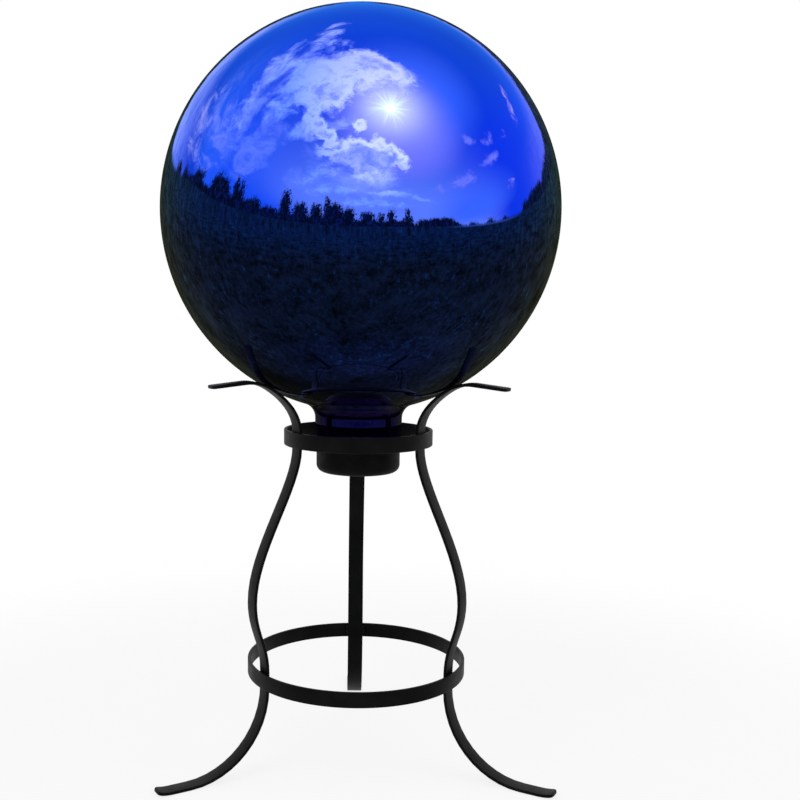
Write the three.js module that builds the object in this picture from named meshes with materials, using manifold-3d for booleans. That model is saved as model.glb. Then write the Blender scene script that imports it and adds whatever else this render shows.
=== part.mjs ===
// Garden gazing ball: a blown, silvered glass globe with a stoppered neck, resting in a welded
// stand of flat steel bar. The stand has three curved legs standing inside two hoops.
// Millimetres, +Z up. The origin is on the globe's axis, on the ground between the three feet.
// The back leg stands towards +Y, and the others follow it round +Z at equal angles.

import * as THREE from 'three';
import { mergeVertices } from 'three/addons/utils/BufferGeometryUtils.js';
import Module from 'manifold-3d';

const wasm = await Module();
wasm.setup();

// Gap kept between pieces that touch
const seatGap = 0.3;

// Glass globe: a sphere blown with an open neck at the bottom
const globeRadius = 127;
const glassWall = 3;
const neckRadius = 28.5;
const neckFilletRadius = 10;
const neckDrop = 19.5;

// Stopper: a solid moulded bung whose head is as wide as the neck
const headRadius = 27.5;
const headHeight = 20.3;
const headCornerRadius = 5;
const headTopBevel = 0.8;
const plugLength = 16;
const plugTaper = 1;
const plugTopBevel = 1.2;

// Flat bar that the whole stand is bent from, a little wider in the legs than in the hoops
const ringBarWidth = 10;
const legBarWidth = 10.8;
const barThickness = 2;
const barEdgeBevel = 0.4;
const barEndCornerRadius = 2.6;

// Hoops: outer radius, and height of the middle of the bar
const topRingRadius = 48.9;
const topRingHeight = 215.8;
const bottomRingRadius = 72.9;
const bottomRingHeight = 62;

// How far the legs stand clear of the lower hoop, which the weld beads fill
const bottomLegClearance = 1.4;

// Legs: the bar's centreline, as distances from the axis and rises above the hoops' middles
const legNames = ['back', 'front_left', 'front_right'];
const backLegAngle = 90;
const bulgeRadius = 77;
const bulgeRise = 51;
const footFlatStart = 121;
const footFlatLength = 12;
const toeLength = 7;
const toeAngle = 12;
const globeSeatRadius = 66;
const globeSeatRise = 33.8;
const curlRadius = 28;
const curlDroopAngle = 5;
const curlTailLength = 19.5;

// Weld beads: one on each side of a leg, in the corner between it and a hoop
const beadHalfWidth = 2;
const beadHalfHeight = 3;
const beadRise = 0.6;

// How far each leg bend's handles reach, as shares of the straight line between its ends
const instepShares = [0.36, 0.42];
const lowerSwellShares = [0.4, 0.42];
const upperSwellShares = [0.33, 0.25];
const shoulderShares = [0.34, 0.36];

// Points of a profile closer than this share of the bar's edge bevel are one point
const repeatShare = 0.01;

// Facets
const globeSegments = 60;
const ringSegments = 72;
const stopperSegments = 48;
const beadSegments = 12;
const beadRings = 8;
const roundSteps = 4;
const seatSteps = 1;
const bendSteps = 12;
const longBendSteps = 16;
const capSteps = 12;
const innerCapSteps = 8;
const filletSteps = 5;

const finishes = {
  glass: new THREE.MeshStandardMaterial({ color: 0x1426a0, roughness: 0.04, metalness: 0.9 }),
  rubber: new THREE.MeshStandardMaterial({ color: 0x141615, roughness: 0.7, metalness: 0 }),
  steel: new THREE.MeshStandardMaterial({ color: 0x222423, roughness: 0.5, metalness: 0.3 }),
};

const radians = THREE.MathUtils.degToRad;

// The globe settles where its surface meets the three legs' seats
const globeSeatReach = globeRadius + seatGap + barThickness / 2;
const globeSeatAngle = Math.asin(globeSeatRadius / globeSeatReach);
const globeSeatHeight = topRingHeight + globeSeatRise;
const globeHeight = globeSeatHeight + globeSeatReach * Math.cos(globeSeatAngle);
const lipDepth = globeRadius + neckDrop;

function named(name, geometry, material) {
  const mesh = new THREE.Mesh(geometry, material);
  mesh.name = name;
  return mesh;
}

function arcPoints(centre, radius, fromAngle, toAngle, steps) {
  const points = [];
  for (let i = 0; i <= steps; i += 1) {
    const angle = THREE.MathUtils.lerp(fromAngle, toAngle, i / steps);
    const spoke = new THREE.Vector2(Math.cos(angle), Math.sin(angle));
    points.push(spoke.multiplyScalar(radius).add(centre));
  }
  return points;
}

function withoutRepeats(points) {
  const closest = barEdgeBevel * repeatShare;
  return points.filter((p, i) => i === 0 || p.distanceTo(points[i - 1]) > closest);
}

// Turns a profile of (radius, height) points about +Z
function revolve(profile, segments) {
  const geometry = new THREE.LatheGeometry(withoutRepeats(profile), segments);
  geometry.rotateX(Math.PI / 2);
  return geometry;
}

// The globe's section: outside from the neck up to the crown, then back down inside
function globeGeometry() {
  const centre = new THREE.Vector2(0, 0);
  const filletReach = globeRadius + neckFilletRadius;
  const filletOffset = neckRadius + neckFilletRadius;
  const filletDepth = Math.sqrt(filletReach ** 2 - filletOffset ** 2);
  const fillet = new THREE.Vector2(filletOffset, -filletDepth);
  const ballAngle = Math.atan2(-filletDepth, filletOffset);
  const filletAngle = ballAngle + Math.PI;
  const lipRadius = glassWall / 2;
  const lip = new THREE.Vector2(neckRadius - lipRadius, lipRadius - lipDepth);
  const innerFilletRadius = neckFilletRadius + glassWall;
  const innerRadius = globeRadius - glassWall;
  const crown = Math.PI / 2;
  return revolve([
    ...arcPoints(centre, innerRadius, crown, 0, innerCapSteps),
    ...arcPoints(centre, innerRadius, 0, ballAngle, innerCapSteps),
    ...arcPoints(fillet, innerFilletRadius, filletAngle, Math.PI, filletSteps),
    ...arcPoints(lip, lipRadius, -Math.PI, 0, filletSteps),
    ...arcPoints(fillet, neckFilletRadius, Math.PI, filletAngle, filletSteps),
    ...arcPoints(centre, globeRadius, ballAngle, 0, capSteps),
    ...arcPoints(centre, globeRadius, 0, crown, capSteps),
  ], globeSegments);
}

// The stopper's section, measured from the top of its head, which faces the neck's lip
function stopperGeometry() {
  const corner = new THREE.Vector2(headRadius - headCornerRadius, headCornerRadius - headHeight);
  const plugRadius = neckRadius - glassWall - seatGap;
  const plugTopRadius = plugRadius - plugTaper;
  return revolve([
    new THREE.Vector2(0, -headHeight),
    ...arcPoints(corner, headCornerRadius, -Math.PI / 2, 0, filletSteps),
    new THREE.Vector2(headRadius, -headTopBevel),
    new THREE.Vector2(headRadius - headTopBevel, 0),
    new THREE.Vector2(plugRadius, 0),
    new THREE.Vector2(plugTopRadius, plugLength - plugTopBevel),
    new THREE.Vector2(plugTopRadius - plugTopBevel, plugLength),
    new THREE.Vector2(0, plugLength),
  ], stopperSegments);
}

// The flat bar's section, with its long edges bevelled: across the bar, and through it
function barSection(halfWidth) {
  const halfThickness = barThickness / 2;
  const narrow = halfWidth - barEdgeBevel;
  const thin = halfThickness - barEdgeBevel;
  return [
    new THREE.Vector2(narrow, -halfThickness),
    new THREE.Vector2(halfWidth, -thin),
    new THREE.Vector2(halfWidth, thin),
    new THREE.Vector2(narrow, halfThickness),
    new THREE.Vector2(-narrow, halfThickness),
    new THREE.Vector2(-halfWidth, thin),
    new THREE.Vector2(-halfWidth, -thin),
    new THREE.Vector2(-narrow, -halfThickness),
  ];
}

// A hoop of flat bar on edge, round the axis, centred on its own height
function ringGeometry(outerRadius) {
  const middle = outerRadius - barThickness / 2;
  const section = barSection(ringBarWidth / 2);
  const profile = section.map((p) => new THREE.Vector2(middle - p.y, p.x));
  profile.push(profile[0].clone());
  return revolve(profile, ringSegments);
}

// Distance from the axis at which a leg's bar stands inside a hoop, clear of it by a gap
function legRadiusInside(ringRadius, clearance) {
  const room = ringRadius - barThickness - clearance;
  return Math.sqrt(room ** 2 - (legBarWidth / 2) ** 2) - barThickness / 2;
}

function station(radius, height, heading) {
  return { point: new THREE.Vector2(radius, height), heading };
}

function along(heading) {
  return new THREE.Vector2(Math.cos(heading), Math.sin(heading));
}

function bend(from, to, [leaveShare, arriveShare]) {
  const chord = from.point.distanceTo(to.point);
  const leave = from.point.clone().addScaledVector(along(from.heading), chord * leaveShare);
  const arrive = to.point.clone().addScaledVector(along(to.heading), -chord * arriveShare);
  return new THREE.CubicBezierCurve(from.point, leave, arrive, to.point);
}

// A bend that is close to a circular arc
function arcBend(from, to) {
  const turn = Math.abs(from.heading - to.heading);
  const arcShare = (2 / 3) * Math.tan(turn / 4) / Math.sin(turn / 2);
  return bend(from, to, [arcShare, arcShare]);
}

// A leg's centreline from its toe to the tip of its curl
function legCurves() {
  const up = Math.PI / 2;
  const inward = Math.PI;
  const floor = barThickness / 2;
  const halfSeat = ringBarWidth / 2;
  const bottomSeat = legRadiusInside(bottomRingRadius, bottomLegClearance);
  const topSeat = legRadiusInside(topRingRadius, seatGap);
  const toeLift = radians(toeAngle);
  const droop = radians(curlDroopAngle);
  const toeRise = toeLength * Math.tan(toeLift / 2);
  const curlRun = curlRadius * (Math.sin(globeSeatAngle) + Math.sin(droop));
  const curlRise = curlRadius * (Math.cos(droop) - Math.cos(globeSeatAngle));
  const footFlatEnd = footFlatStart + footFlatLength;

  const toe = station(footFlatEnd + toeLength, floor + toeRise, inward + toeLift);
  const flatEnd = station(footFlatEnd, floor, inward);
  const flatStart = station(footFlatStart, floor, inward);
  const bottomSeatLow = station(bottomSeat, bottomRingHeight - halfSeat, up);
  const bottomSeatHigh = station(bottomSeat, bottomRingHeight + halfSeat, up);
  const bulge = station(bulgeRadius, bottomRingHeight + bulgeRise, up);
  const topSeatLow = station(topSeat, topRingHeight - halfSeat, up);
  const topSeatHigh = station(topSeat, topRingHeight + halfSeat, up);
  const globeSeat = station(globeSeatRadius, globeSeatHeight, globeSeatAngle);
  const curlEnd = station(globeSeatRadius + curlRun, globeSeatHeight + curlRise, -droop);
  const curlTip = curlEnd.point.clone().addScaledVector(along(-droop), curlTailLength);

  return [
    [arcBend(toe, flatEnd), roundSteps],
    [new THREE.LineCurve(flatEnd.point, flatStart.point), seatSteps],
    [bend(flatStart, bottomSeatLow, instepShares), bendSteps],
    [new THREE.LineCurve(bottomSeatLow.point, bottomSeatHigh.point), seatSteps],
    [bend(bottomSeatHigh, bulge, lowerSwellShares), bendSteps],
    [bend(bulge, topSeatLow, upperSwellShares), longBendSteps],
    [new THREE.LineCurve(topSeatLow.point, topSeatHigh.point), seatSteps],
    [bend(topSeatHigh, globeSeat, shoulderShares), bendSteps],
    [arcBend(globeSeat, curlEnd), bendSteps],
    [new THREE.LineCurve(curlEnd.point, curlTip), seatSteps],
  ];
}

// Points and directions along the leg, with each end's rounded corners as narrower stations
function legStations() {
  const stations = [];
  for (const [curve, steps] of legCurves()) {
    for (let i = stations.length ? 1 : 0; i <= steps; i += 1) {
      const share = i / steps;
      const direction = curve.getTangent(share);
      stations.push({ point: curve.getPoint(share), direction, halfWidth: legBarWidth / 2 });
    }
  }
  return [...roundedEnd(stations[0], 1), ...stations, ...roundedEnd(stations.at(-1), -1).reverse()];
}

// Stations that run on past an end of the bar and draw its corners in
function roundedEnd(end, side) {
  const extra = [];
  for (let i = 0; i < roundSteps; i += 1) {
    const angle = (Math.PI / 2) * (i / roundSteps);
    const past = barEndCornerRadius * Math.cos(angle) * side;
    const drawnIn = barEndCornerRadius * (1 - Math.sin(angle));
    const point = end.point.clone().addScaledVector(end.direction, -past);
    extra.push({ point, direction: end.direction, halfWidth: legBarWidth / 2 - drawnIn });
  }
  return extra;
}

// Lofts the bar's section along the leg, in the plane of +X and +Z
function legGeometry() {
  const positions = [];
  const triangles = [];
  const stations = legStations();
  const sides = barSection(legBarWidth / 2).length;
  for (const { point, direction, halfWidth } of stations) {
    const through = new THREE.Vector2(direction.y, -direction.x);
    for (const corner of barSection(halfWidth)) {
      const place = point.clone().addScaledVector(through, corner.y);
      positions.push(place.x, corner.x, place.y);
    }
  }
  for (let i = 0; i < stations.length - 1; i += 1) {
    for (let j = 0; j < sides; j += 1) {
      const here = i * sides;
      const next = here + sides;
      const k = (j + 1) % sides;
      triangles.push(here + j, next + j, here + k);
      triangles.push(here + k, next + j, next + k);
    }
  }
  const last = (stations.length - 1) * sides;
  for (let j = 1; j < sides - 1; j += 1) {
    triangles.push(0, j, j + 1);
    triangles.push(last, last + j + 1, last + j);
  }
  const geometry = new THREE.BufferGeometry();
  geometry.setAttribute('position', new THREE.Float32BufferAttribute(positions, 3));
  geometry.setIndex(triangles);
  geometry.computeVertexNormals();
  return geometry;
}

function toSolid(geometry) {
  const bare = geometry.clone();
  bare.deleteAttribute('normal');
  bare.deleteAttribute('uv');
  const merged = mergeVertices(bare);
  const vertProperties = merged.attributes.position.array;
  const triVerts = Uint32Array.from(merged.index.array);
  return new wasm.Manifold(new wasm.Mesh({ numProp: 3, vertProperties, triVerts }));
}

function toGeometry(solid) {
  const mesh = solid.getMesh();
  const geometry = new THREE.BufferGeometry();
  geometry.setAttribute('position', new THREE.BufferAttribute(mesh.vertProperties, 3));
  geometry.setIndex(new THREE.BufferAttribute(mesh.triVerts, 1));
  geometry.computeVertexNormals();
  return geometry;
}

// A bead of weld in the corner between a leg's edge and the inside of a hoop, on the side of
// the leg towards +Y or -Y, for a leg on +X
function beadGeometry(ringRadius, clearance, side) {
  const room = ringRadius - barThickness - seatGap;
  const legEdge = legBarWidth / 2 + seatGap;
  const cornerRadius = Math.sqrt(room ** 2 - legEdge ** 2) - (clearance - seatGap) / 2;
  const blob = new THREE.SphereGeometry(1, beadSegments, beadRings);
  blob.rotateX(Math.PI / 2);
  blob.scale(beadHalfWidth, beadHalfWidth, beadHalfHeight);
  blob.translate(cornerRadius, legEdge * side, 0);
  const inside = new THREE.CylinderGeometry(room, room, ringBarWidth, ringSegments);
  inside.rotateX(Math.PI / 2);
  const beside = new THREE.BoxGeometry(legBarWidth, legBarWidth, legBarWidth);
  beside.translate(cornerRadius, (legEdge + legBarWidth / 2) * side, 0);
  const bead = toSolid(blob).intersect(toSolid(inside)).intersect(toSolid(beside));
  return toGeometry(bead);
}

// Turns a piece made for a leg on +X to the place of the leg with this number
function turnedToLeg(i, mesh) {
  const group = new THREE.Group();
  group.rotation.z = radians(backLegAngle) + (2 * Math.PI * i) / legNames.length;
  group.add(mesh);
  return group;
}

function stand() {
  const group = new THREE.Group();
  const rings = {
    top: { ringRadius: topRingRadius, ringHeight: topRingHeight, clearance: seatGap },
    bottom: {
      ringRadius: bottomRingRadius,
      ringHeight: bottomRingHeight,
      clearance: bottomLegClearance,
    },
  };
  for (const [ringName, { ringRadius, ringHeight, clearance }] of Object.entries(rings)) {
    const ring = named(`${ringName}_ring`, ringGeometry(ringRadius), finishes.steel);
    ring.position.z = ringHeight;
    group.add(ring);
    for (const [i, legName] of legNames.entries()) {
      const sides = { a: 1, b: -1 };
      for (const [letter, side] of Object.entries(sides)) {
        const name = `weld_${ringName}_${legName}_${letter}`;
        const bead = named(name, beadGeometry(ringRadius, clearance, side), finishes.steel);
        bead.position.z = ringHeight + beadRise;
        group.add(turnedToLeg(i, bead));
      }
    }
  }
  for (const [i, legName] of legNames.entries()) {
    group.add(turnedToLeg(i, named(`leg_${legName}`, legGeometry(), finishes.steel)));
  }
  return group;
}

function globe() {
  const group = new THREE.Group();
  const stopper = named('neck_stopper', stopperGeometry(), finishes.rubber);
  stopper.position.z = -lipDepth - seatGap;
  group.add(named('glass_globe', globeGeometry(), finishes.glass), stopper);
  group.position.z = globeHeight;
  return group;
}

const gazingBall = new THREE.Group();
gazingBall.add(stand(), globe());

export default gazingBall;
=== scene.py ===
import math

import bmesh
import bpy
from mathutils import Matrix, Vector


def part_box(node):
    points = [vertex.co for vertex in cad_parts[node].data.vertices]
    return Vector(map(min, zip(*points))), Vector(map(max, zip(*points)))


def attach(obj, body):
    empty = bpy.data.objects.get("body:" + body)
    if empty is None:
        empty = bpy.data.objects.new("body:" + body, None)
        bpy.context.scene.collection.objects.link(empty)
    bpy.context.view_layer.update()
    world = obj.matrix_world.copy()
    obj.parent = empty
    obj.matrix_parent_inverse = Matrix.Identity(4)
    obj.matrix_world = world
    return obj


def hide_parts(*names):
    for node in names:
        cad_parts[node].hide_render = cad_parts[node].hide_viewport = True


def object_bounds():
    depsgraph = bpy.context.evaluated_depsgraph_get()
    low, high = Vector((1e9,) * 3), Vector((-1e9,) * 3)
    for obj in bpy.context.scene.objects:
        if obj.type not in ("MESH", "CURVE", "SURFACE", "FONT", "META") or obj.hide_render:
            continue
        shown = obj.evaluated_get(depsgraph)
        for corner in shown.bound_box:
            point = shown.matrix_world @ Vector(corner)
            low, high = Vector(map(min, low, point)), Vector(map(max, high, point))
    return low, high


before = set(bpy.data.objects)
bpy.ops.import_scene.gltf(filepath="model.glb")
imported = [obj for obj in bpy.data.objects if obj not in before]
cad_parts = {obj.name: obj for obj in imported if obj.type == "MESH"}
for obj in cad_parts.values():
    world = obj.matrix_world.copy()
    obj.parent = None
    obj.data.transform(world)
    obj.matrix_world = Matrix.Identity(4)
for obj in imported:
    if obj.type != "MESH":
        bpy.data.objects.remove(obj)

MM = 0.001
QUARTER_TURN = math.pi / 2
ORIGIN = Vector((0, 0, 0))
UP = Vector((0, 0, 1))
PROFILE_TURN = Vector((0, 1, 0))
MERGE_WITHIN = 0.001 * MM

# Glass
WALL = 3 * MM
NECK_RADIUS = 28.5 * MM
NECK_FILLET = 10 * MM
LIP_RADIUS = WALL / 2

# Stopper
HEAD_HEIGHT = 20.3 * MM
HEAD_CORNER = 5 * MM
HEAD_TOP_CORNER = 0.8 * MM
PLUG_TAPER = 1 * MM
PLUG_TOP_CORNER = 1.2 * MM
STOPPER_GAP = 0.3 * MM

# Flat bar, and how far its long edges are rolled round in the hoops and in the legs
BAR_THICKNESS = 2 * MM
LEG_WIDTH = 10.8 * MM
HOOP_ROLL = 0.5 * MM
LEG_ROLL = 0.16 * MM

# Degrees of turn: a leg's faces that differ by less are one face, and an edge that turns by more is
# one of its long edges
ONE_FACE = 0.2
LONG_EDGE = 25

# Weld beads, the bearing of each leg, and how far the legs stand clear of each hoop
BEAD_RADIUS = 2.1 * MM
BEAD_HALF_HEIGHT = 3.1 * MM
BEAD_RIPPLES = 3
BEAD_RIPPLE_SHARE = 0.1
LEGS = {"back": 90, "front_left": 210, "front_right": 330}
LEG_CLEARANCE = {"top": 0.3 * MM, "bottom": 1.4 * MM}

# How finely round shapes are turned
GLOBE_STEPS = 256
RING_STEPS = 240
STOPPER_STEPS = 128

# The part of a noise that patterns are made from: its few lower and higher values are cut off
NOISE_MIDDLE = (0.3, 0.7)

# Finishes: colours and roughness from one end of the pattern to the other, and heights of bumps.
# Glass rougher than its second value is no clean mirror to the renderer.
COBALT = ((0.012, 0.068, 0.68), (0.016, 0.077, 0.74))
GLASS_ROUGHNESS = (0.001, 0.0035)
GLASS_WAVES = 0.03 * MM
COAT_BLACK = ((0.0028, 0.0034, 0.0031), (0.0062, 0.007, 0.0066))
BAR_ROUGHNESS = (0.36, 0.5)
WELD_ROUGHNESS = (0.2, 0.3)
ORANGE_PEEL = 0.02 * MM
RUBBER_BLACK = ((0.003, 0.0036, 0.0034), (0.006, 0.0068, 0.0064))
RUBBER_ROUGHNESS = (0.5, 0.66)
RUBBER_GRAIN = 0.012 * MM
BLACK_SHINE = 0.2

# The silvering turns violet down the neck, between two heights and with a ragged edge
NECK_FILM = (0.06, 0.01, 0.55)
NECK_FILM_HEIGHTS = (0.252, 0.232)
NECK_FILM_RAGGED = 8 * MM

# What the mirror shows: the sky leans towards the back by these degrees, and the sun's direction is
# the room's. Colours of the sky, the light round the sun and the clouds.
SKY_TILT = 16
SUN = Vector((0.222, -0.577, 0.786))
AZURE = (0.045, 0.33, 0.95)
BACK_SKY = (0.03, 0.22, 0.83)
RIGHT_SKY = (0.06, 0.27, 1.1)
LOW_RIGHT_SKY = (0.6, 1.05, 1.38)
LEFT_SKY = (0.16, 0.66, 1.3)
FRONT_SKY = (1.75, 1.75, 1.4)
SUN_GLOW = (2.6, 1.55, 1.42)
WIDE_GLOW = (0.42, 0.92, 1.4)
BACK_HAZE = (0.46, 0.62, 1.25)
RIGHT_HAZE = (0.32, 0.4, 1.2)
HALO = (12.0, 6.6, 3.2)
FLARE = (16.0, 10.5, 6.0)
SUN_DISC = (70.0, 50.0, 30.0)
VEIL = (1.75, 1.7, 1.45)
VEIL_IN_SUN = (6.5, 4.2, 2.2)
THIN_VEIL = (0.7, 1.15, 1.4)
CLOUD = (3.0, 2.9, 2.0)
CLOUD_IN_SUN = (12.5, 7.2, 4.5)
CLOUD_MIDDLE = (2.7, 2.1, 1.5)
CLOUD_MIDDLE_PALE = (6.4, 4.1, 2.4)
PUFF = (2.3, 1.55, 1.42)

# Places in the sky are in a level plane overhead, across to the right and along to the back, and
# places on the ground in a level plane beneath. Nearness is how far the plane is brought in at the
# horizon, where it would run out without end.
SKY_NEARNESS = 0.25
GROUND_NEARNESS = 0.12

# Where the clear sky's colours start and where they are whole
BACK_SKY_ALONG = (0.4, 1.0)
RIGHT_SKY_ACROSS = (0.5, 1.3)
LEFT_SKY_ACROSS = (0.0, -1.2)
LEFT_SKY_ALONG = (1.2, 0.3)
FRONT_SKY_ALONG = (0.1, -1.7)
FRONT_SKY_ACROSS = (-1.9, -0.7)
GLOW_EDGE = (0.0, 1.1)

# Haze low in the sky, by bearing from the front in degrees and by height. It ends before straight
# behind, where the bearing jumps from 180 to -180.
BACK_HAZE_BEARINGS = (-112.0, -145.0)
BACK_HAZE_HEIGHTS = (0.42, 0.2)
RIGHT_HAZE_BEARINGS = (98.0, 128.0)
RIGHT_HAZE_HEIGHTS = (0.32, 0.17)
HAZE_ENDS = (180.0, 163.0)
HAZE_STREAKS = (0.34, 0.6)
HAZE_SHARE = 0.5

# How tightly the halo and the flare sit round the sun, the flare less tightly along its rays, and
# the edge of the sun's disc as the cosine of the angle from its middle
HALO_TIGHTNESS = 31.0
FLARE_TIGHTNESS = 420.0
RAY_TIGHTNESS = 160.0
RAYS = (0.4, 0.62)
SUN_EDGE = (0.999, 0.9997)

# How strongly noise breaks up each kind of cloud, how deep the gaps cut, and how soft the edge is
VEIL_BROKEN = 3.1
VEIL_GAPS = 1.4
VEIL_EDGE = (0.1, 1.35)
SOFT_BROKEN = 3.2
SOFT_GAPS = 1.0
SOFT_EDGE = (0.3, 1.35)
PUFF_BROKEN = 2.6
PUFF_EDGE = (0.3, 1.2)
SHARP_BROKEN = 1.7
SHARP_EDGE = (0.35, 0.75)
THIN_EDGE = (0.36, 0.64)
MIDDLE_EDGE = (0.7, 1.15)
MIDDLE_MOTTLE = (0.4, 0.66)

# A patch is whole out to the first share of its reach and gone at the second. Noise breaks it up
# fully where it is stronger than one part in so many.
PATCH_FADE = (0.35, 1.25)
FULLY_BROKEN = 3.0

# Patches of glow, cloud and gap: centre, reach, turn in degrees and strength
LOW_RIGHT_PATCH = ((2.3, -1.1), (0.95, 1.2), 0, 0.9)
WIDE_GLOW_PATCH = ((0.38, -0.12), (0.56, 0.54), 0, 1.0)
SUN_GLOW_PATCH = ((0.38, -0.6), (0.6, 0.55), -20, 1.0)
SUNLIT_CLOUDS = ((0.22, -0.55), (0.62, 0.85), 0, 1.0)
SHARP_CLOUDS = (
    ((0.04, 0.1), (0.26, 0.17), -22, 1.0),
    ((-0.22, -0.12), (0.3, 0.19), 5, 1.0),
    ((-0.32, -0.45), (0.11, 0.28), 20, 0.85),
    ((-0.05, -0.46), (0.08, 0.08), 0, 0.85),
    ((0.06, -0.8), (0.52, 0.25), -11, 1.15),
    ((-0.3, -0.62), (0.1, 0.07), 30, 0.8),
)
SHADED_CLOUD = ((0.04, -0.99), (0.5, 0.22), -8, 0.7)
SOFT_CLOUDS = (
    ((0.0, 0.06), (0.42, 0.22), -14, 1.0),
    ((-0.32, 0.08), (0.38, 0.34), -10, 0.95),
    ((-0.5, 0.34), (0.28, 0.16), 35, 0.8),
    ((-0.16, 0.52), (0.1, 0.2), -25, 0.7),
    ((-0.2, 0.34), (0.14, 0.12), -20, 0.8),
    ((-0.54, -0.08), (0.24, 0.16), 0, 1.0),
    ((-0.78, 0.24), (0.4, 0.2), 20, 0.7),
    ((-0.22, -0.14), (0.42, 0.2), 5, 0.85),
    ((-0.45, -0.42), (0.22, 0.16), 10, 0.75),
    ((0.1, -1.1), (0.32, 0.16), 0, 0.9),
    ((0.38, -1.42), (0.46, 0.12), 4, 0.9),
    ((0.98, -1.42), (0.28, 0.1), 0, 0.85),
    ((-0.5, -1.02), (0.4, 0.14), 12, 0.75),
    ((-0.4, -1.34), (0.5, 0.18), -6, 0.95),
    ((0.15, -1.72), (0.8, 0.22), 0, 0.9),
)
PUFFS = (
    ((1.36, -0.14), (0.12, 0.2), -5, 0.95),
    ((0.95, -0.2), (0.15, 0.07), 20, 0.75),
    ((1.13, 0.05), (0.12, 0.12), -30, 0.75),
    ((1.25, 0.3), (0.07, 0.12), -20, 0.5),
    ((1.1, 0.85), (0.27, 0.14), -30, 0.68),
    ((1.32, -0.72), (0.18, 0.3), -28, 1.0),
    ((1.16, -1.06), (0.2, 0.13), 0, 0.8),
    ((2.2, 0.15), (0.25, 0.2), 0, 0.6),
)
VEILS = (
    ((-0.85, 0.1), (0.7, 0.36), 14, 0.8),
    ((-1.3, 0.3), (0.5, 0.5), -20, 0.65),
    ((-0.48, -0.74), (0.16, 0.2), 0, 0.65),
    ((-0.74, -0.32), (0.22, 0.14), 10, 0.9),
    ((-1.1, -0.3), (0.7, 0.34), 10, 0.85),
    ((-0.2, -0.42), (0.22, 0.1), 0, 0.8),
    ((-1.25, 0.95), (0.75, 0.4), -40, 0.5),
    ((-1.75, 0.8), (0.5, 0.8), 0, 0.5),
    ((-0.72, -1.1), (0.55, 0.26), 10, 0.95),
    ((-0.2, -1.35), (0.7, 0.4), -8, 1.05),
    ((0.15, -1.12), (0.34, 0.24), 0, 1.25),
    ((0.6, -1.5), (0.75, 0.24), 0, 1.1),
    ((0.2, -1.9), (1.0, 0.4), 0, 1.0),
)
THIN_CLOUD = ((-1.1, 0.1), (0.85, 0.72), 0, 0.4)
GAPS = (
    ((-0.84, -0.63), (0.21, 0.13), 0, 1.0),
    ((-0.56, 0.17), (0.14, 0.08), 0, 0.4),
    ((-0.85, -0.03), (0.24, 0.06), 8, 0.6),
    ((-1.3, -0.62), (0.3, 0.1), -20, 0.6),
    ((-0.72, 0.44), (0.22, 0.12), 40, 0.9),
    ((-1.6, 0.45), (0.14, 0.3), 0, 0.6),
)

# Trees and hedges round the horizon: bearing from the front in degrees, half the width and height.
# Noise sways them by degrees, and makes their outline more ragged the higher they stand.
TREE_LINE = (
    (-180, 30, 0.2), (-128, 4, 0.05), (-119, 4, 0.06), (-106, 6, 0.1), (-102, 2, 0.14),
    (-86, 12, 0.18), (-75, 3.4, 0.22), (-71, 3, 0.21), (-66, 5, 0.1), (-61, 6, 0.13),
    (-52, 9, 0.09), (-43, 4.6, 0.25), (-34, 7, 0.17), (-25, 5, 0.18), (-19, 3, 0.24),
    (-15, 8, 0.2), (-7, 6, 0.16), (3, 7, 0.13), (10, 2.4, 0.12), (16, 3.6, 0.15), (25, 3, 0.15),
    (34, 7, 0.06), (43, 15, 0.07), (63, 4, 0.02), (75, 3, 0.03), (85, 3, 0.02), (102, 4, 0.055),
    (114, 15, 0.075), (135, 20, 0.09), (158, 22, 0.2), (180, 40, 0.2),
)
TREE_TOP_SHARE = 0.3
TREE_ENDS = (179.6, 178.4)
TREE_SWAY = 16.0
HEDGE_HEIGHT = 0.055
HEDGE_LEFT_END = (-122.0, -108.0)
HEDGE_RIGHT_END = (32.0, 24.0)
RAGGEDNESS = 0.6
RAGGED_PER_HEIGHT = 2.0
RAGGED_BARE = 0.1
CREST_EDGE = (-0.014, 0.014)

# The ground's edge rises and drops by bearing, and a pale field lies along it on the right
HORIZON_RISE = 0.092
HORIZON_RISE_BEARINGS = (-150.0, -105.0)
HORIZON_DROP = 0.1
HORIZON_DROP_BEARINGS = (5.0, 95.0)
HORIZON_EDGE = (-0.004, 0.004)
FIELD_HEIGHTS = (-0.02, -0.008)
FIELD_LEFT_END = (45.0, 60.0)
FIELD_RIGHT_END = (100.0, 85.0)

# Colours of the trees and the ground, and where the ground's begin, by depth below the horizon
TREES = (0.016, 0.022, 0.022)
TREES_THIN = (0.05, 0.1, 0.17)
GROUND_DARK = (0.012, 0.01, 0.002)
GROUND_PALE = (0.074, 0.088, 0.052)
GROUND_BENEATH = (0.056, 0.072, 0.066)
FAR_GROUND_DARK = (0.006, 0.016, 0.014)
FAR_GROUND_PALE = (0.056, 0.15, 0.145)
FLECK = (0.1, 0.3, 0.24)
PALE_FIELD = (0.2, 0.32, 0.3)
SHADED_GROUND = (0.005, 0.004, 0.001)
BENEATH_DEPTHS = (0.75, 0.98)
FAR_DEPTHS = (0.34, -0.1)

# The ground's pattern: the shares of blades and of patches, the parts of each noise that show, and
# how far height is pressed together, which draws blades and trees out upwards
BLADES_SHARE = 0.72
PATCHES_SHARE = 0.58
GROUND_CONTRAST = (0.46, 0.86)
LEAFY_CONTRAST = (0.48, 0.62)
CLUMPS_SHOWN = (0.46, 0.64)
FLECKS_SHOWN = (0.54, 0.72)
FLATTENED = 0.55

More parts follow.
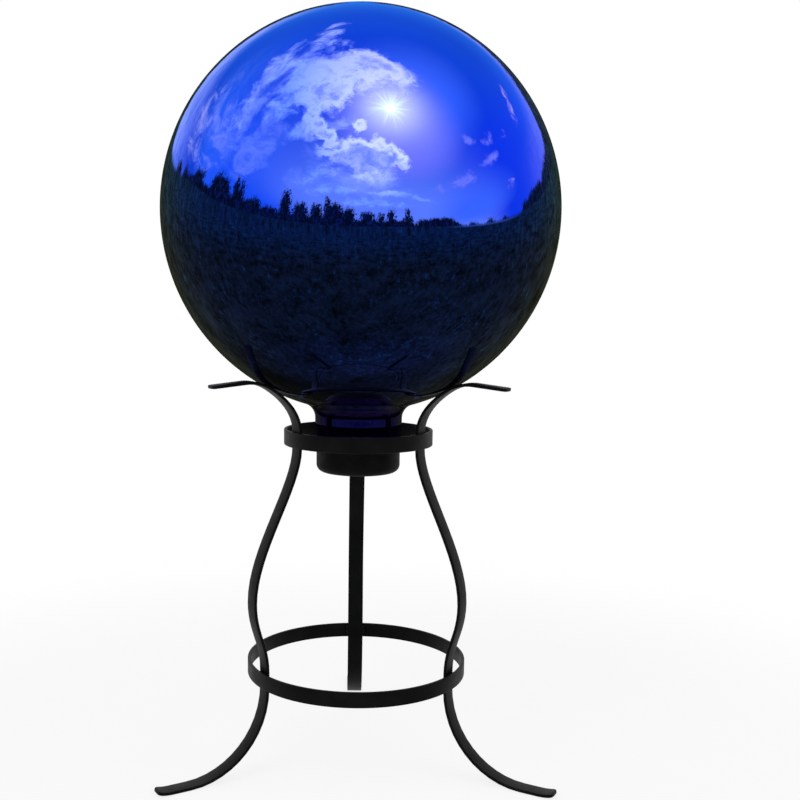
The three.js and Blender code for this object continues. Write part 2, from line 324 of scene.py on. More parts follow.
# Shade on the ground: under the ball and behind it
BALL_SHADOW = ((-0.2, 0.52), (0.6, 0.5), 0, 0.85)
SHADE_BEHIND = 0.5
SHADE_BEHIND_BEARINGS = (115.0, 165.0)

# The plain studio, its floor and its lamps: place and power
SOFT_LIGHT = 0.62
STUDIO_SIDES = (0.62, 0.62, 0.62)
STUDIO_FRONT = (0.11, 0.11, 0.11)
STUDIO_FRONT_EDGE = (-0.6, 1.1)
FLOOR_PALE = ((0.9, 0.9, 0.9), (0.93, 0.93, 0.93))
FLOOR_RADIUS = 6
FLOOR_DROP = 0.2 * MM
FLOOR_WHITE = 0.82
FLOOR_FADE = (0.25, 0.6)
SOFTBOX_SIZE = 1.2
KEY_SOFTBOX = ((-1.1, -1.0, 1.6), 9)
FILL_SOFTBOX = ((1.3, -0.6, 1.2), 6)

# Camera, where the photograph was taken from
LENS = 49.53
SENSOR_WIDTH = 36
CAMERA_DISTANCE = 0.7194
CAMERA_HEIGHT = 0.3078
CAMERA_BEARING = -0.64
CAMERA_PITCH = 7.348
CAMERA_ROLL = 0.595
CAMERA_SHIFT = (0.0521, 0.0465)
NEAREST_SEEN = 0.01
FARTHEST_SEEN = 50

cad_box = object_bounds()


# Meshes

def new_object(name, bm):
    mesh = bpy.data.meshes.new(name)
    bm.to_mesh(mesh)
    bm.free()
    thing = bpy.data.objects.new(name, mesh)
    bpy.context.scene.collection.objects.link(thing)
    return thing


def new_piece(name, bm, body, slot_name, *stood_for):
    """Makes an object of bm that rides on a body and stands for CAD nodes."""
    piece = new_object(name, bm)
    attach(piece, body)
    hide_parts(*stood_for)
    return piece


def smooth(bm, sharpest=35):
    """Smooth shading, with the edges that turn by more than so many degrees kept sharp."""
    for face in bm.faces:
        face.smooth = True
    for edge in bm.edges:
        if len(edge.link_faces) == 2:
            edge.smooth = edge.calc_face_angle() < math.radians(sharpest)


def arc(bm, vert, centre, angle, steps):
    """Draws an arc from vert in the plane of X and Z, and gives the last point."""
    made = bmesh.ops.spin(
        bm, geom=[vert], cent=centre, axis=PROFILE_TURN, angle=angle, steps=steps
    )
    return next(item for item in made["geom_last"] if isinstance(item, bmesh.types.BMVert))


def line(bm, vert, x, z):
    """Draws a straight line from vert to (x, z), and gives its end."""
    end = bmesh.ops.extrude_vert_indiv(bm, verts=[vert])["verts"][0]
    end.co = (x, 0, z)
    return end


def turn(bm, steps):
    """Turns the drawn profile once round Z and closes it."""
    profile = bm.verts[:] + bm.edges[:]
    bmesh.ops.spin(
        bm, geom=profile, cent=ORIGIN, axis=UP, angle=math.tau, steps=steps, use_merge=True
    )
    bmesh.ops.remove_doubles(bm, verts=bm.verts, dist=MERGE_WITHIN)
    bmesh.ops.recalc_face_normals(bm, faces=bm.faces)


def glass_globe():
    """The ball and its neck as one wall: up the inside, round the lip and up the outside."""
    low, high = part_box("glass_globe")
    radius = (high.x - low.x) / 2
    centre_height = high.z - radius
    lip_depth = centre_height - low.z
    fillet_offset = NECK_RADIUS + NECK_FILLET
    lean = math.asin(fillet_offset / (radius + NECK_FILLET))
    fillet_depth = fillet_offset / math.tan(lean)
    fillet = Vector((fillet_offset, 0, -fillet_depth))
    lip = Vector((NECK_RADIUS - LIP_RADIUS, 0, LIP_RADIUS - lip_depth))
    bm = bmesh.new()
    at = bm.verts.new((0, 0, radius - WALL))
    at = arc(bm, at, ORIGIN, math.pi - lean, steps=64)
    at = arc(bm, at, fillet, lean - QUARTER_TURN, steps=10)
    at = line(bm, at, NECK_RADIUS - WALL, lip.z)
    at = arc(bm, at, lip, -math.pi, steps=10)
    at = line(bm, at, NECK_RADIUS, -fillet_depth)
    at = arc(bm, at, fillet, QUARTER_TURN - lean, steps=16)
    arc(bm, at, ORIGIN, lean - math.pi, steps=128)
    turn(bm, GLOBE_STEPS)
    smooth(bm, sharpest=60)
    bmesh.ops.translate(bm, verts=bm.verts, vec=UP * centre_height)
    return new_piece("globe_glass", bm, "globe", "mirrored_glass", "glass_globe")


def neck_stopper():
    """The bung: a head with a rounded lower corner, and a tapered plug."""
    low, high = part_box("neck_stopper")
    head_radius = (high.x - low.x) / 2
    seat = low.z + HEAD_HEIGHT
    plug_radius = NECK_RADIUS - WALL - STOPPER_GAP
    plug_top_radius = plug_radius - PLUG_TAPER
    corner = Vector((head_radius - HEAD_CORNER, 0, low.z + HEAD_CORNER))
    top_corner = Vector((head_radius - HEAD_TOP_CORNER, 0, seat - HEAD_TOP_CORNER))
    plug_corner = Vector((plug_top_radius - PLUG_TOP_CORNER, 0, high.z - PLUG_TOP_CORNER))
    bm = bmesh.new()
    at = bm.verts.new((0, 0, low.z))
    at = line(bm, at, corner.x, low.z)
    at = arc(bm, at, corner, -QUARTER_TURN, steps=12)
    at = line(bm, at, head_radius, top_corner.z)
    at = arc(bm, at, top_corner, -QUARTER_TURN, steps=5)
    at = line(bm, at, plug_radius, seat)
    at = line(bm, at, plug_top_radius, plug_corner.z)
    at = arc(bm, at, plug_corner, -QUARTER_TURN, steps=5)
    line(bm, at, 0, high.z)
    turn(bm, STOPPER_STEPS)
    smooth(bm)
    return new_piece("stopper_bung", bm, "stopper", "stopper_rubber", "neck_stopper")


def hoop(name):
    """A hoop of flat bar on edge, with its rolled edges."""
    low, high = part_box(name)
    middle = (high.x - low.x - BAR_THICKNESS) / 2
    bm = bmesh.new()
    bmesh.ops.create_grid(bm, x_segments=1, y_segments=1, size=0.5)
    bmesh.ops.scale(bm, verts=bm.verts, vec=(BAR_THICKNESS, high.z - low.z, 1))
    bmesh.ops.bevel(
        bm,
        geom=bm.verts[:],
        offset=HOOP_ROLL,
        segments=4,
        profile=0.5,
        affect="VERTICES",
        material=-1,
    )
    bmesh.ops.delete(bm, geom=bm.faces[:], context="FACES_ONLY")
    bmesh.ops.rotate(bm, verts=bm.verts, matrix=Matrix.Rotation(QUARTER_TURN, 3, "X"))
    bmesh.ops.translate(bm, verts=bm.verts, vec=(middle, 0, (low.z + high.z) / 2))
    turn(bm, RING_STEPS)
    smooth(bm)
    return new_piece(f"{name}_hoop", bm, "stand", "coated_steel", name)


def leg(name):
    """The leg as bent, with its long edges rolled round."""
    bm = bmesh.new()
    bm.from_mesh(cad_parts[name].data)
    bmesh.ops.remove_doubles(bm, verts=bm.verts, dist=MERGE_WITHIN)
    flat = math.radians(ONE_FACE)
    bmesh.ops.dissolve_limit(bm, angle_limit=flat, verts=bm.verts, edges=bm.edges)
    edges = [edge for edge in bm.edges if edge.calc_face_angle(0) > math.radians(LONG_EDGE)]
    bmesh.ops.bevel(
        bm,
        geom=edges,
        offset=LEG_ROLL,
        segments=2,
        profile=0.5,
        affect="EDGES",
        clamp_overlap=True,
        material=-1,
    )
    smooth(bm, sharpest=50)
    return new_piece(f"{name}_bar", bm, "stand", "coated_steel", name)


def weld(ring_name, leg_name, letter, side):
    """A rippled bead of weld in the corner between a leg's edge and the inside of a hoop."""
    low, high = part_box(f"{ring_name}_ring")
    room = (high.x - low.x) / 2 - BAR_THICKNESS
    leg_edge = LEG_WIDTH / 2
    out = math.sqrt(room ** 2 - leg_edge ** 2) - LEG_CLEARANCE[ring_name] / 2
    node = f"weld_{ring_name}_{leg_name}_{letter}"
    bead_low, bead_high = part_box(node)
    bm = bmesh.new()
    bmesh.ops.create_uvsphere(bm, u_segments=32, v_segments=32, radius=1)
    for vert in bm.verts:
        swell = 1 + BEAD_RIPPLE_SHARE * math.cos(math.tau * BEAD_RIPPLES * vert.co.z / 2)
        vert.co.x *= swell
        vert.co.y *= swell
    bmesh.ops.scale(bm, verts=bm.verts, vec=(BEAD_RADIUS, BEAD_RADIUS, BEAD_HALF_HEIGHT))
    place = Vector((out, leg_edge * side, (bead_low.z + bead_high.z) / 2))
    bmesh.ops.translate(bm, verts=bm.verts, vec=place)
    turned = Matrix.Rotation(math.radians(LEGS[leg_name]), 3, "Z")
    bmesh.ops.rotate(bm, verts=bm.verts, cent=ORIGIN, matrix=turned)
    smooth(bm, sharpest=80)
    return new_piece(f"{node}_bead", bm, "stand", "coated_steel", node)


# Nodes of materials and of the surroundings

def add(tree, kind, **settings):
    node = tree.nodes.new(kind)
    for name, setting in settings.items():
        setattr(node, name, setting)
    return node


def fill(node, **inputs):
    """Sets a node's inputs by name, with _ for a space."""
    for name, given in inputs.items():
        node.inputs[name.replace("_", " ")].default_value = given
    return node


def wire(tree, sockets, given):
    """Gives each socket in turn a link or a plain value."""
    for socket, item in zip(sockets, given):
        if isinstance(item, bpy.types.NodeSocket):
            tree.links.new(item, socket)
        else:
            socket.default_value = item


def value(tree, operation, *given, clamp=False):
    """A Math node of sockets or numbers."""
    node = add(tree, "ShaderNodeMath", operation=operation, use_clamp=clamp)
    wire(tree, node.inputs, given)
    return node.outputs["Value"]


def vector(tree, operation, *given):
    """A Vector Math node of sockets or vectors."""
    node = add(tree, "ShaderNodeVectorMath", operation=operation)
    wire(tree, node.inputs, given)
    return node.outputs["Value" if operation in ("LENGTH", "DOT_PRODUCT") else "Vector"]


def parts_of(tree, whole):
    """The X, Y and Z of a vector."""
    node = add(tree, "ShaderNodeSeparateXYZ")
    wire(tree, node.inputs, (whole,))
    return node.outputs["X"], node.outputs["Y"], node.outputs["Z"]


def joined(tree, *parts):
    """A vector of its X, Y and, where given, Z."""
    node = add(tree, "ShaderNodeCombineXYZ")
    wire(tree, node.inputs, parts)
    return node.outputs["Vector"]


def ranged(tree, given, start, end, low, high, curve="LINEAR"):
    """Maps start to low and end to high, and keeps within them."""
    node = add(tree, "ShaderNodeMapRange", clamp=True, interpolation_type=curve)
    fill(node, From_Min=start, From_Max=end, To_Min=low, To_Max=high)
    tree.links.new(given, node.inputs["Value"])
    return node.outputs["Result"]


def step(tree, given, start, end):
    """Rises smoothly from 0 at start to 1 at end."""
    return ranged(tree, given, start, end, 0.0, 1.0, "SMOOTHSTEP")


def mixed(tree, factor, first, second):
    """A Mix node of two colours, each a socket or three numbers."""
    node = add(tree, "ShaderNodeMix", data_type="RGBA", clamp_factor=True)
    tree.links.new(factor, node.inputs["Factor"])
    colours = [(*given, 1) if isinstance(given, tuple) else given for given in (first, second)]
    wire(tree, node.inputs[6:8], colours)
    return node.outputs[2]


def noise_at(tree, spot, **settings):
    texture = fill(add(tree, "ShaderNodeTexNoise"), **settings)
    tree.links.new(spot, texture.inputs["Vector"])
    return texture.outputs["Fac"]


# Materials

def new_material(name):
    material = bpy.data.materials.new(name)
    material.use_nodes = True
    return material, material.node_tree, material.node_tree.nodes["Principled BSDF"]


def on_piece(tree):
    return add(tree, "ShaderNodeTexCoord").outputs["Object"]


def noise(tree, scale, detail=2.0, roughness=0.5):
    """Noise on the piece's own coordinates, with scale in features a metre."""
    return noise_at(tree, on_piece(tree), Scale=scale, Detail=detail, Roughness=roughness)


def between(tree, factor, low, high):
    """Maps the middle of a noise to a span of values."""
    return ranged(tree, factor, *NOISE_MIDDLE, low, high)


def blend_colour(tree, factor, first, second):
    """Maps the middle of a noise to a span of colours."""
    ramp = add(tree, "ShaderNodeValToRGB")
    for stop, place, colour in zip(ramp.color_ramp.elements, NOISE_MIDDLE, (first, second)):
        stop.position = place
        stop.color = (*colour, 1)
    tree.links.new(factor, ramp.inputs["Fac"])
    return ramp.outputs["Color"]


def bump(tree, height, distance):
    node = fill(add(tree, "ShaderNodeBump"), Strength=1.0, Distance=distance)
    tree.links.new(height, node.inputs["Height"])
    return node.outputs["Normal"]


def dress(tree, shader, **links):
    """Links sockets to the shader's inputs by name, with _ for a space."""
    for name, given in links.items():
        tree.links.new(given, shader.inputs[name.replace("_", " ")])


def mirrored_cobalt():
    """Blown glass silvered deep blue on the inside: a tinted mirror under a clear surface."""
    material, tree, shader = new_material("mirrored_cobalt")
    fill(shader, Metallic=1.0, Coat_Weight=1.0, Coat_Roughness=0.0, Coat_IOR=1.5)
    film = blend_colour(tree, noise(tree, scale=14, detail=3), *COBALT)
    height = parts_of(tree, on_piece(tree))[2]
    patchy = noise(tree, scale=60, detail=3)
    uneven = value(tree, "MULTIPLY_ADD", patchy, NECK_FILM_RAGGED, -NECK_FILM_RAGGED / 2)
    level = value(tree, "ADD", height, uneven)
    film = mixed(tree, step(tree, level, *NECK_FILM_HEIGHTS), film, NECK_FILM)
    haze = between(tree, noise(tree, scale=240, detail=4, roughness=0.6), *GLASS_ROUGHNESS)
    waves = bump(tree, noise(tree, scale=16, detail=1), GLASS_WAVES)
    dress(tree, shader, Base_Color=film, Roughness=haze, Normal=waves, Coat_Normal=waves)
    return material


def powder_coat(name, roughness):
    """Satin black powder coat with its fine orange peel, a little uneven in gloss."""
    material, tree, shader = new_material(name)
    fill(shader, Specular_IOR_Level=BLACK_SHINE)
    black = blend_colour(tree, noise(tree, scale=55, detail=3), *COAT_BLACK)
    gloss = between(tree, noise(tree, scale=140, detail=4, roughness=0.6), *roughness)
    peel = bump(tree, noise(tree, scale=1500, detail=3, roughness=0.55), ORANGE_PEEL)
    dress(tree, shader, Base_Color=black, Roughness=gloss, Normal=peel)
    return material


def moulded_rubber():
    """Matt black rubber with a faint bloom."""
    material, tree, shader = new_material("moulded_rubber")
    fill(shader, Specular_IOR_Level=BLACK_SHINE)
    bloom = blend_colour(tree, noise(tree, scale=90, detail=4, roughness=0.6), *RUBBER_BLACK)
    dull = between(tree, noise(tree, scale=200, detail=3), *RUBBER_ROUGHNESS)
    grain = bump(tree, noise(tree, scale=2600), RUBBER_GRAIN)
    dress(tree, shader, Base_Color=bloom, Roughness=dull, Normal=grain)
    return material


def coat(piece, material):
    piece.data.materials.clear()
    piece.data.materials.append(material)


# Surroundings

def on_plane(tree, x, y, depth, nearness):
    """Where a direction meets a level plane above or below, seen in perspective."""
    share = value(tree, "DIVIDE", 1.0, value(tree, "ADD", depth, nearness))
    return joined(tree, value(tree, "MULTIPLY", x, share), value(tree, "MULTIPLY", y, share))


def lump(tree, spot, centre, reach, turned, strength):
    """A patch in the sky's plane, as strong as given at its centre and fading to nothing."""
    patch = add(tree, "ShaderNodeMapping", vector_type="TEXTURE")
    fill(patch, Location=(*centre, 0), Rotation=(0, 0, math.radians(turned)), Scale=(*reach, 1))
    tree.links.new(spot, patch.inputs["Vector"])
    away = vector(tree, "LENGTH", patch.outputs["Vector"])
    return ranged(tree, away, *PATCH_FADE, strength, 0.0)


def strongest(tree, spot, patches):
    total = 0.0
    for patch in patches:
        total = value(tree, "MAXIMUM", lump(tree, spot, *patch), total)
    return total


def ruffled(tree, spot, scale, amount):
    """The spot pushed about by fine noise, for torn edges."""
    push = fill(add(tree, "ShaderNodeTexNoise"), Scale=scale, Detail=8.0, Roughness=0.62)
    tree.links.new(spot, push.inputs["Vector"])
    centred = vector(tree, "SUBTRACT", push.outputs["Color"], (0.5, 0.5, 0.5))
    return vector(tree, "MULTIPLY_ADD", centred, (amount, amount, 0), spot)


def clear_sky(tree, spot):
    """Azure, deeper on the right, paler towards the front and violet round the sun."""
    across, along, _ = parts_of(tree, spot)
    shade = mixed(tree, step(tree, along, *BACK_SKY_ALONG), AZURE, BACK_SKY)
    shade = mixed(tree, step(tree, across, *RIGHT_SKY_ACROSS), shade, RIGHT_SKY)
    sides = step(tree, across, *LEFT_SKY_ACROSS), step(tree, along, *LEFT_SKY_ALONG)
    shade = mixed(tree, value(tree, "MULTIPLY", *sides), shade, LEFT_SKY)
    sides = step(tree, along, *FRONT_SKY_ALONG), step(tree, across, *FRONT_SKY_ACROSS)
    shade = mixed(tree, value(tree, "MULTIPLY", *sides), shade, FRONT_SKY)
    shade = mixed(tree, lump(tree, spot, *LOW_RIGHT_PATCH), shade, LOW_RIGHT_SKY)
    wide = step(tree, lump(tree, spot, *WIDE_GLOW_PATCH), *GLOW_EDGE)
    shade = mixed(tree, wide, shade, WIDE_GLOW)
    glow = step(tree, lump(tree, spot, *SUN_GLOW_PATCH), *GLOW_EDGE)
    return mixed(tree, glow, shade, SUN_GLOW)


def hazy(tree, shade, toward, z, bearing):
    """Adds streaky haze low in the sky, at the left of the back and on the right."""
    streaks = noise_at(tree, toward, Scale=9.0, Detail=8.0, Roughness=0.7, Distortion=1.5)
    streaks = step(tree, streaks, *HAZE_STREAKS)
    uneven = value(tree, "MULTIPLY_ADD", streaks, HAZE_SHARE, 1 - HAZE_SHARE)
    ends = step(tree, value(tree, "ABSOLUTE", bearing), *HAZE_ENDS)
    uneven = value(tree, "MULTIPLY", uneven, ends)
    for bearings, heights, colour in (
        (BACK_HAZE_BEARINGS, BACK_HAZE_HEIGHTS, BACK_HAZE),
        (RIGHT_HAZE_BEARINGS, RIGHT_HAZE_HEIGHTS, RIGHT_HAZE),
    ):
        low = value(tree, "MULTIPLY", step(tree, bearing, *bearings), step(tree, z, *heights))
        shade = mixed(tree, value(tree, "MULTIPLY", low, uneven), shade, colour)
    return shade


def cloud_cover(tree, torn, patches, billows, strength):
    """The patches broken up by noise: nothing at 0 and whole at 1."""
    whole = strongest(tree, torn, patches)
    broken = value(tree, "MULTIPLY_ADD", billows, strength, -strength / 2)
    inside = value(tree, "MULTIPLY", whole, FULLY_BROKEN, clamp=True)
    return value(tree, "MULTIPLY_ADD", broken, inside, whole)


def sunburst(tree, toward, shade):
    """Adds the sun's small disc, its uneven short rays and its glow."""
    sun = SUN.normalized()
    near_sun = value(tree, "MAXIMUM", vector(tree, "DOT_PRODUCT", toward, sun), 0.0)
    around = vector(tree, "NORMALIZE", vector(tree, "SUBTRACT", toward, sun))
    rays = step(tree, noise_at(tree, around, Scale=5.0, Detail=2.0, Roughness=0.6), *RAYS)
    loosened = RAY_TIGHTNESS - FLARE_TIGHTNESS
    tightness = value(tree, "MULTIPLY_ADD", rays, loosened, FLARE_TIGHTNESS)
    shade = mixed(tree, value(tree, "POWER", near_sun, HALO_TIGHTNESS), shade, HALO)
    shade = mixed(tree, value(tree, "POWER", near_sun, tightness), shade, FLARE)
    return mixed(tree, step(tree, near_sun, *SUN_EDGE), shade, SUN_DISC)


def sky(tree, toward, x, y, z, bearing):
    """A clear sky with veils and broken bright cloud mostly on the left, and a small sun."""
    spot = on_plane(tree, x, y, value(tree, "MAXIMUM", z, 0.0), SKY_NEARNESS)
    shade = hazy(tree, clear_sky(tree, spot), toward, z, bearing)
    sunlit = lump(tree, spot, *SUNLIT_CLOUDS)

    thin = noise_at(tree, spot, Scale=2.6, Detail=8.0, Roughness=0.6, Distortion=1.6)
    thin = step(tree, thin, *THIN_EDGE)
    film = value(tree, "MULTIPLY", lump(tree, spot, *THIN_CLOUD), thin)
    shade = mixed(tree, film, shade, THIN_VEIL)
    torn = ruffled(tree, spot, scale=3.0, amount=0.34)
    gaps = strongest(tree, torn, GAPS)
    wisps = noise_at(tree, spot, Scale=3.4, Detail=10.0, Roughness=0.68, Distortion=0.9)
    veils = cloud_cover(tree, torn, VEILS, wisps, VEIL_BROKEN)
    veils = value(tree, "MULTIPLY_ADD", gaps, -VEIL_GAPS, veils)
    veil_shade = mixed(tree, sunlit, VEIL, VEIL_IN_SUN)
    shade = mixed(tree, step(tree, veils, *VEIL_EDGE), shade, veil_shade)

    fleece = noise_at(tree, spot, Scale=6.0, Detail=10.0, Roughness=0.68, Distortion=0.5)
    soft = cloud_cover(tree, torn, SOFT_CLOUDS, fleece, SOFT_BROKEN)
    soft = value(tree, "MULTIPLY_ADD", gaps, -SOFT_GAPS, soft)
    cloud_shade = mixed(tree, sunlit, CLOUD, CLOUD_IN_SUN)
    shade = mixed(tree, step(tree, soft, *SOFT_EDGE), shade, cloud_shade)
    puffs = cloud_cover(tree, torn, PUFFS, fleece, PUFF_BROKEN)
    shade = mixed(tree, step(tree, puffs, *PUFF_EDGE), shade, PUFF)

    billows = noise_at(tree, spot, Scale=8.0, Detail=10.0, Roughness=0.66, Distortion=0.4)
    sharp = cloud_cover(tree, torn, SHARP_CLOUDS, billows, SHARP_BROKEN)
    shaded = lump(tree, spot, *SHADED_CLOUD)
    thick = step(tree, value(tree, "ADD", sharp, shaded), *MIDDLE_EDGE)
    mottle = step(tree, fleece, *MIDDLE_MOTTLE)
    middle = mixed(tree, mottle, CLOUD_MIDDLE, CLOUD_MIDDLE_PALE)
    sharp_shade = mixed(tree, thick, cloud_shade, middle)
    shade = mixed(tree, step(tree, sharp, *SHARP_EDGE), shade, sharp_shade)
    return sunburst(tree, toward, shade)


def tree_line(tree, bearing):
    """How high trees and hedges stand above the ground's edge, by bearing in degrees."""
    ends = step(tree, bearing, *HEDGE_LEFT_END), step(tree, bearing, *HEDGE_RIGHT_END)
    total = value(tree, "MULTIPLY", value(tree, "MULTIPLY", *ends), HEDGE_HEIGHT)
    for middle, half_width, height in TREE_LINE:
        away = value(tree, "ABSOLUTE", value(tree, "SUBTRACT", bearing, middle))
        top = half_width * TREE_TOP_SHARE
        crown = ranged(tree, away, half_width, top, 0.0, height, "SMOOTHSTEP")
        total = value(tree, "MAXIMUM", crown, total)
    gap = step(tree, value(tree, "ABSOLUTE", bearing), *TREE_ENDS)
    return value(tree, "MULTIPLY", total, gap)


def rough_ground(tree, upright, x, y, z, bearing):
    """Dark rough grass, bluer far off, with paler blades catching the light in clumps."""
    depth = value(tree, "MAXIMUM", value(tree, "MULTIPLY", z, -1.0), 0.0)
    spot = on_plane(tree, x, y, depth, GROUND_NEARNESS)
    blades = noise_at(tree, upright, Scale=26.0, Detail=6.0, Roughness=0.85)
    patches = noise_at(tree, spot, Scale=2.4, Detail=5.0, Roughness=0.7)
    rough = value(tree, "MULTIPLY", blades, BLADES_SHARE)
    rough = value(tree, "MULTIPLY_ADD", patches, PATCHES_SHARE, rough)
    rough = step(tree, rough, *GROUND_CONTRAST)
    pale = mixed(tree, step(tree, depth, *BENEATH_DEPTHS), GROUND_PALE, GROUND_BENEATH)
    near = mixed(tree, rough, GROUND_DARK, pale)
    far = mixed(tree, rough, FAR_GROUND_DARK, FAR_GROUND_PALE)
    ground = mixed(tree, step(tree, depth, *FAR_DEPTHS), near, far)
    clumps = step(tree, noise_at(tree, spot, Scale=1.7, Detail=3.0), *CLUMPS_SHOWN)
    flecks = value(tree, "MULTIPLY", clumps, step(tree, blades, *FLECKS_SHOWN))
    ground = mixed(tree, flecks, ground, FLECK)
    behind = step(tree, value(tree, "ABSOLUTE", bearing), *SHADE_BEHIND_BEARINGS)
    shade = value(tree, "MULTIPLY", behind, SHADE_BEHIND)
    shade = value(tree, "MAXIMUM", lump(tree, spot, *BALL_SHADOW), shade)
    return mixed(tree, shade, ground, SHADED_GROUND)


def surround(tree):
    """What the mirror shows: a broken sky over a ragged skyline and dark rough ground."""
    toward = add(tree, "ShaderNodeTexCoord").outputs["Generated"]
    tilt = add(tree, "ShaderNodeVectorRotate", rotation_type="X_AXIS")
    fill(tilt, Angle=-math.radians(SKY_TILT))
    tree.links.new(toward, tilt.inputs["Vector"])
    x, y, z = parts_of(tree, tilt.outputs["Vector"])
    bearing = value(tree, "ARCTAN2", x, value(tree, "MULTIPLY", y, -1.0))
    bearing = value(tree, "DEGREES", bearing)
    upright = joined(tree, x, y, value(tree, "MULTIPLY", z, FLATTENED))

    ground = rough_ground(tree, upright, x, y, z, bearing)
    rise = value(tree, "MULTIPLY", step(tree, bearing, *HORIZON_RISE_BEARINGS), HORIZON_RISE)
    drop = step(tree, bearing, *HORIZON_DROP_BEARINGS)
    edge = value(tree, "MULTIPLY_ADD", drop, -HORIZON_DROP, rise)
    above = value(tree, "SUBTRACT", z, edge)
    field = step(tree, above, *FIELD_HEIGHTS)
    field = value(tree, "MULTIPLY", field, step(tree, bearing, *FIELD_LEFT_END))
    field = value(tree, "MULTIPLY", field, step(tree, bearing, *FIELD_RIGHT_END))
    ground = mixed(tree, field, ground, PALE_FIELD)

    leaves = noise_at(tree, upright, Scale=56.0, Detail=7.0, Roughness=0.85)
    twigs = noise_at(tree, upright, Scale=40.0, Detail=7.0, Roughness=0.85)
    leafy = mixed(tree, step(tree, twigs, *LEAFY_CONTRAST), TREES, TREES_THIN)
    below = mixed(tree, step(tree, above, *HORIZON_EDGE), ground, leafy)
    sway = value(tree, "MULTIPLY_ADD", twigs, TREE_SWAY, -TREE_SWAY / 2)
    height = tree_line(tree, value(tree, "ADD", bearing, sway))
    reach = value(tree, "MULTIPLY_ADD", height, RAGGED_PER_HEIGHT, RAGGED_BARE)
    ragged = value(tree, "MULTIPLY_ADD", leaves, RAGGEDNESS, -RAGGEDNESS / 2)
    ragged = value(tree, "MULTIPLY", ragged, reach)
    crest = value(tree, "SUBTRACT", value(tree, "ADD", above, ragged), height)
    heavens = sky(tree, toward, x, y, z, bearing)
    return mixed(tree, step(tree, crest, *CREST_EDGE), below, heavens)


def studio(tree):
    """A plain pale studio, darker on the side that it is seen from."""
    along = parts_of(tree, add(tree, "ShaderNodeTexCoord").outputs["Generated"])[1]
    return mixed(tree, step(tree, along, *STUDIO_FRONT_EDGE), STUDIO_FRONT, STUDIO_SIDES)


def background(tree, strength, colour=None):
    node = fill(add(tree, "ShaderNodeBackground"), Color=(1, 1, 1, 1), Strength=strength)
    if colour:
        tree.links.new(colour, node.inputs["Color"])
    return node.outputs["Background"]


def either(tree, factor, first, second):
    """The first shader where the factor is 0, and the second where it is 1."""
    node = add(tree, "ShaderNodeMixShader")
    wire(tree, node.inputs, (factor, first, second))
    return node.outputs["Shader"]


def surroundings():
    """White to the camera, the broken sky to a clean mirror, and a plain studio to all else."""
    world = bpy.data.worlds.new("surroundings")
    bpy.context.scene.world = world
    world.use_nodes = True
    tree = world.node_tree
    tree.nodes.clear()
    ray = add(tree, "ShaderNodeLightPath").outputs
    glossy = value(tree, "MAXIMUM", ray["Is Glossy Ray"], ray["Is Transmission Ray"])
    mirrored = value(tree, "MULTIPLY", glossy, ray["Is Singular Ray"])
    light = background(tree, SOFT_LIGHT)
    light = either(tree, glossy, light, background(tree, 1.0, studio(tree)))
    light = either(tree, mirrored, light, background(tree, 1.0, surround(tree)))
    light = either(tree, ray["Is Camera Ray"], light, background(tree, 1.0))
    output = add(tree, "ShaderNodeOutputWorld")
    tree.links.new(light, output.inputs["Surface"])


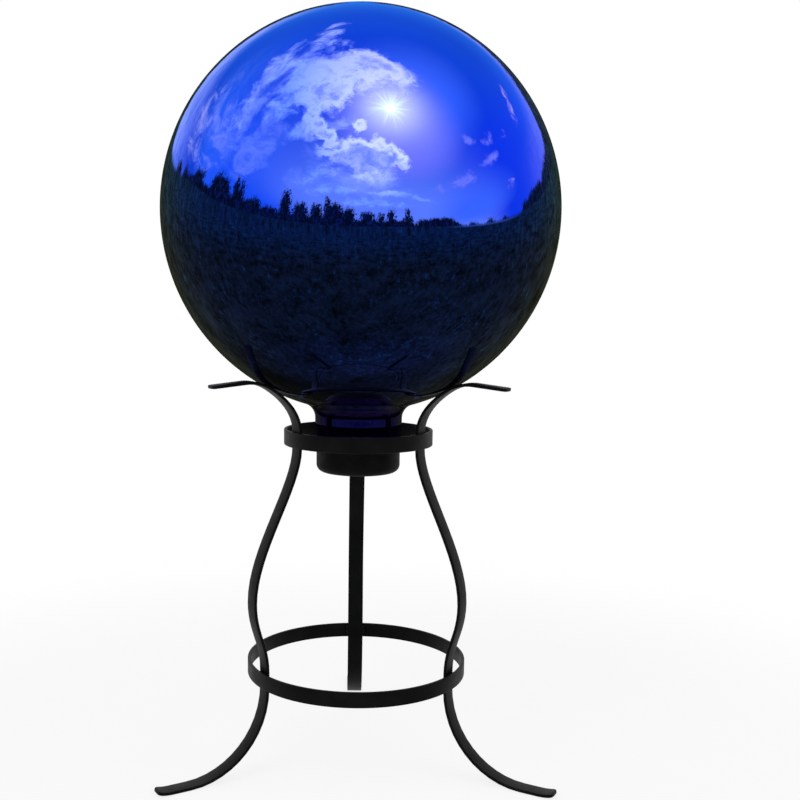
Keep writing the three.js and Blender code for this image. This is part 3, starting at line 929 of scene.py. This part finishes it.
def floor():
    """A pale floor that keeps the shadow and runs out to white."""
    bm = bmesh.new()
    bmesh.ops.create_circle(bm, cap_ends=True, radius=FLOOR_RADIUS, segments=64)
    bmesh.ops.translate(bm, verts=bm.verts, vec=-UP * FLOOR_DROP)
    piece = new_object("floor", bm)
    piece.visible_glossy = False
    material, tree, shader = new_material("pale_floor")
    fill(shader, Roughness=0.9, Specular_IOR_Level=0.1)
    fine = blend_colour(tree, noise(tree, scale=40, detail=3), *FLOOR_PALE)
    dress(tree, shader, Base_Color=fine)
    far = step(tree, vector(tree, "LENGTH", on_piece(tree)), *FLOOR_FADE)
    bare = value(tree, "MULTIPLY_ADD", far, 1 - FLOOR_WHITE, FLOOR_WHITE)
    ray = add(tree, "ShaderNodeLightPath").outputs
    share = value(tree, "MULTIPLY", bare, ray["Is Camera Ray"])
    white = fill(add(tree, "ShaderNodeEmission"), Color=(1, 1, 1, 1), Strength=1.0)
    light = either(tree, share, shader.outputs[0], white.outputs[0])
    tree.links.new(light, tree.nodes["Material Output"].inputs["Surface"])
    coat(piece, material)


def softbox(name, place, power):
    """A square soft lamp turned to the middle of the object."""
    low, high = cad_box
    lamp = bpy.data.lights.new(name, "AREA")
    lamp.size = SOFTBOX_SIZE
    lamp.energy = power
    holder = bpy.data.objects.new(name, lamp)
    bpy.context.scene.collection.objects.link(holder)
    holder.location = place
    facing = (low + high) / 2 - Vector(place)
    holder.rotation_euler = facing.to_track_quat("-Z", "Y").to_euler()
    holder.visible_glossy = False


def camera():
    lens = bpy.data.cameras.new("camera")
    lens.sensor_width = SENSOR_WIDTH
    lens.lens = LENS
    lens.shift_x, lens.shift_y = CAMERA_SHIFT
    lens.clip_start = NEAREST_SEEN
    lens.clip_end = FARTHEST_SEEN
    holder = bpy.data.objects.new("camera", lens)
    bpy.context.scene.collection.objects.link(holder)
    bearing = Matrix.Rotation(math.radians(CAMERA_BEARING), 4, "Z")
    place = Matrix.Translation((0, -CAMERA_DISTANCE, CAMERA_HEIGHT))
    pitch = Matrix.Rotation(math.radians(90 - CAMERA_PITCH), 4, "X")
    roll = Matrix.Rotation(math.radians(CAMERA_ROLL), 4, "Z")
    holder.matrix_world = bearing @ place @ pitch @ roll
    bpy.context.scene.camera = holder


camera()
bpy.context.scene.view_settings.view_transform = "Standard"
surroundings()
floor()
softbox("key_softbox", *KEY_SOFTBOX)
softbox("fill_softbox", *FILL_SOFTBOX)

cobalt = mirrored_cobalt()
black = powder_coat("powder_coat", BAR_ROUGHNESS)
weld_black = powder_coat("powder_coated_weld", WELD_ROUGHNESS)
rubber = moulded_rubber()

coat(glass_globe(), cobalt)
coat(neck_stopper(), rubber)
for ring_name in ("top", "bottom"):
    coat(hoop(f"{ring_name}_ring"), black)
    for leg_name in LEGS:
        coat(weld(ring_name, leg_name, "a", 1), weld_black)
        coat(weld(ring_name, leg_name, "b", -1), weld_black)
for leg_name in LEGS:
    coat(leg(f"leg_{leg_name}"), black)
